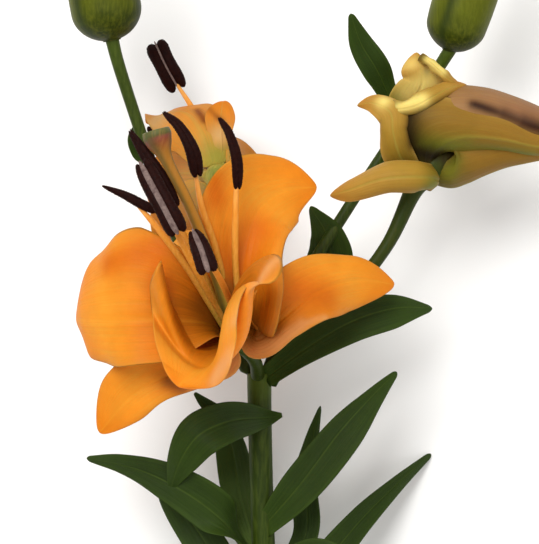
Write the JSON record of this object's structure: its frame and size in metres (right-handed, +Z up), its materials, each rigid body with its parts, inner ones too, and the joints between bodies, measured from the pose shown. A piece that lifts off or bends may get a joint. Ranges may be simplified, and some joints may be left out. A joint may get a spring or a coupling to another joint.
{
  "type": "cut lily stem",
  "caption": "Cut orange lily stem lying down, with open and half-open flowers, closed buds, stamens and long green leaves.",
  "frame": {"origin": "centre of the bounding box's base, on the surface the cut stem lies on", "axes": "+Y along the stem towards the flowers, +Z up, away from the surface"},
  "size_m": [0.2122, 0.4975, 0.1551],
  "materials": {
    "stem": "satin, dark green plant stem",
    "flower_stalk": "satin, mid-green flower stalk",
    "upper_leaf": "satin, dark green leaf",
    "lower_leaf": "satin, dark green leaf",
    "open_tepal": "soft satin, orange petal",
    "rear_tepal": "soft satin, pale orange petal back",
    "half_open_tepal": "soft satin, yellow-brown petal",
    "stamen": "matt, dark purple-brown anther on an orange filament",
    "pistil": "satin, brown-orange style with a grey-green stigma",
    "bud": "satin, olive green bud"
  },
  "bodies": {
    "root": {"bract": "upper_leaf", "bud_left": "bud", "bud_right": "bud", "front_petal_left": "open_tepal", "front_petal_near": "open_tepal", "front_petal_upper": "open_tepal", "front_pistil": "pistil", "front_sepal_far": "open_tepal", "front_sepal_lower_left": "open_tepal", "front_sepal_right": "open_tepal", "front_stamen_left_high": "stamen", "front_stamen_left_low": "stamen", "front_stamen_left_near": "stamen", "front_stamen_near": "stamen", "front_stamen_right": "stamen", "front_stamen_upper": "stamen", "leaf_behind_right": "upper_leaf", "leaf_bottom_front": "upper_leaf", "leaf_front_curl": "upper_leaf", "leaf_left_back": "upper_leaf", "leaf_left_long": "upper_leaf", "leaf_left_low": "upper_leaf", "leaf_left_small": "upper_leaf", "leaf_low_right": "upper_leaf", "leaf_right": "upper_leaf", "leaf_right_back": "upper_leaf", "leaf_right_long": "upper_leaf", "leaf_top": "upper_leaf", "lower_leaf_1": "lower_leaf", "lower_leaf_2": "lower_leaf", "lower_leaf_3": "lower_leaf", "lower_leaf_4": "lower_leaf", "lower_leaf_5": "lower_leaf", "lower_leaf_6": "lower_leaf", "main_stem": "stem", "pedicel_bud_left": "flower_stalk", "pedicel_bud_right": "flower_stalk", "pedicel_front": "flower_stalk", "pedicel_rear": "flower_stalk", "pedicel_right": "flower_stalk", "rear_petal_lower": "rear_tepal", "rear_petal_near": "rear_tepal", "rear_petal_right": "rear_tepal", "rear_pistil": "pistil", "rear_sepal_left": "rear_tepal", "rear_sepal_near": "rear_tepal", "rear_sepal_right": "rear_tepal", "rear_stamen_left": "stamen", "rear_stamen_lower_left": "stamen", "rear_stamen_lower_right": "stamen", "rear_stamen_right": "stamen", "rear_stamen_upper": "stamen", "right_petal_back_lower": "half_open_tepal", "right_petal_back_upper": "half_open_tepal", "right_petal_front": "half_open_tepal", "right_sepal_edge": "half_open_tepal", "right_sepal_fold": "half_open_tepal", "right_sepal_lower": "half_open_tepal", "right_sepal_middle": "half_open_tepal", "right_sepal_upper": "half_open_tepal"}
  },
  "joints": []
}
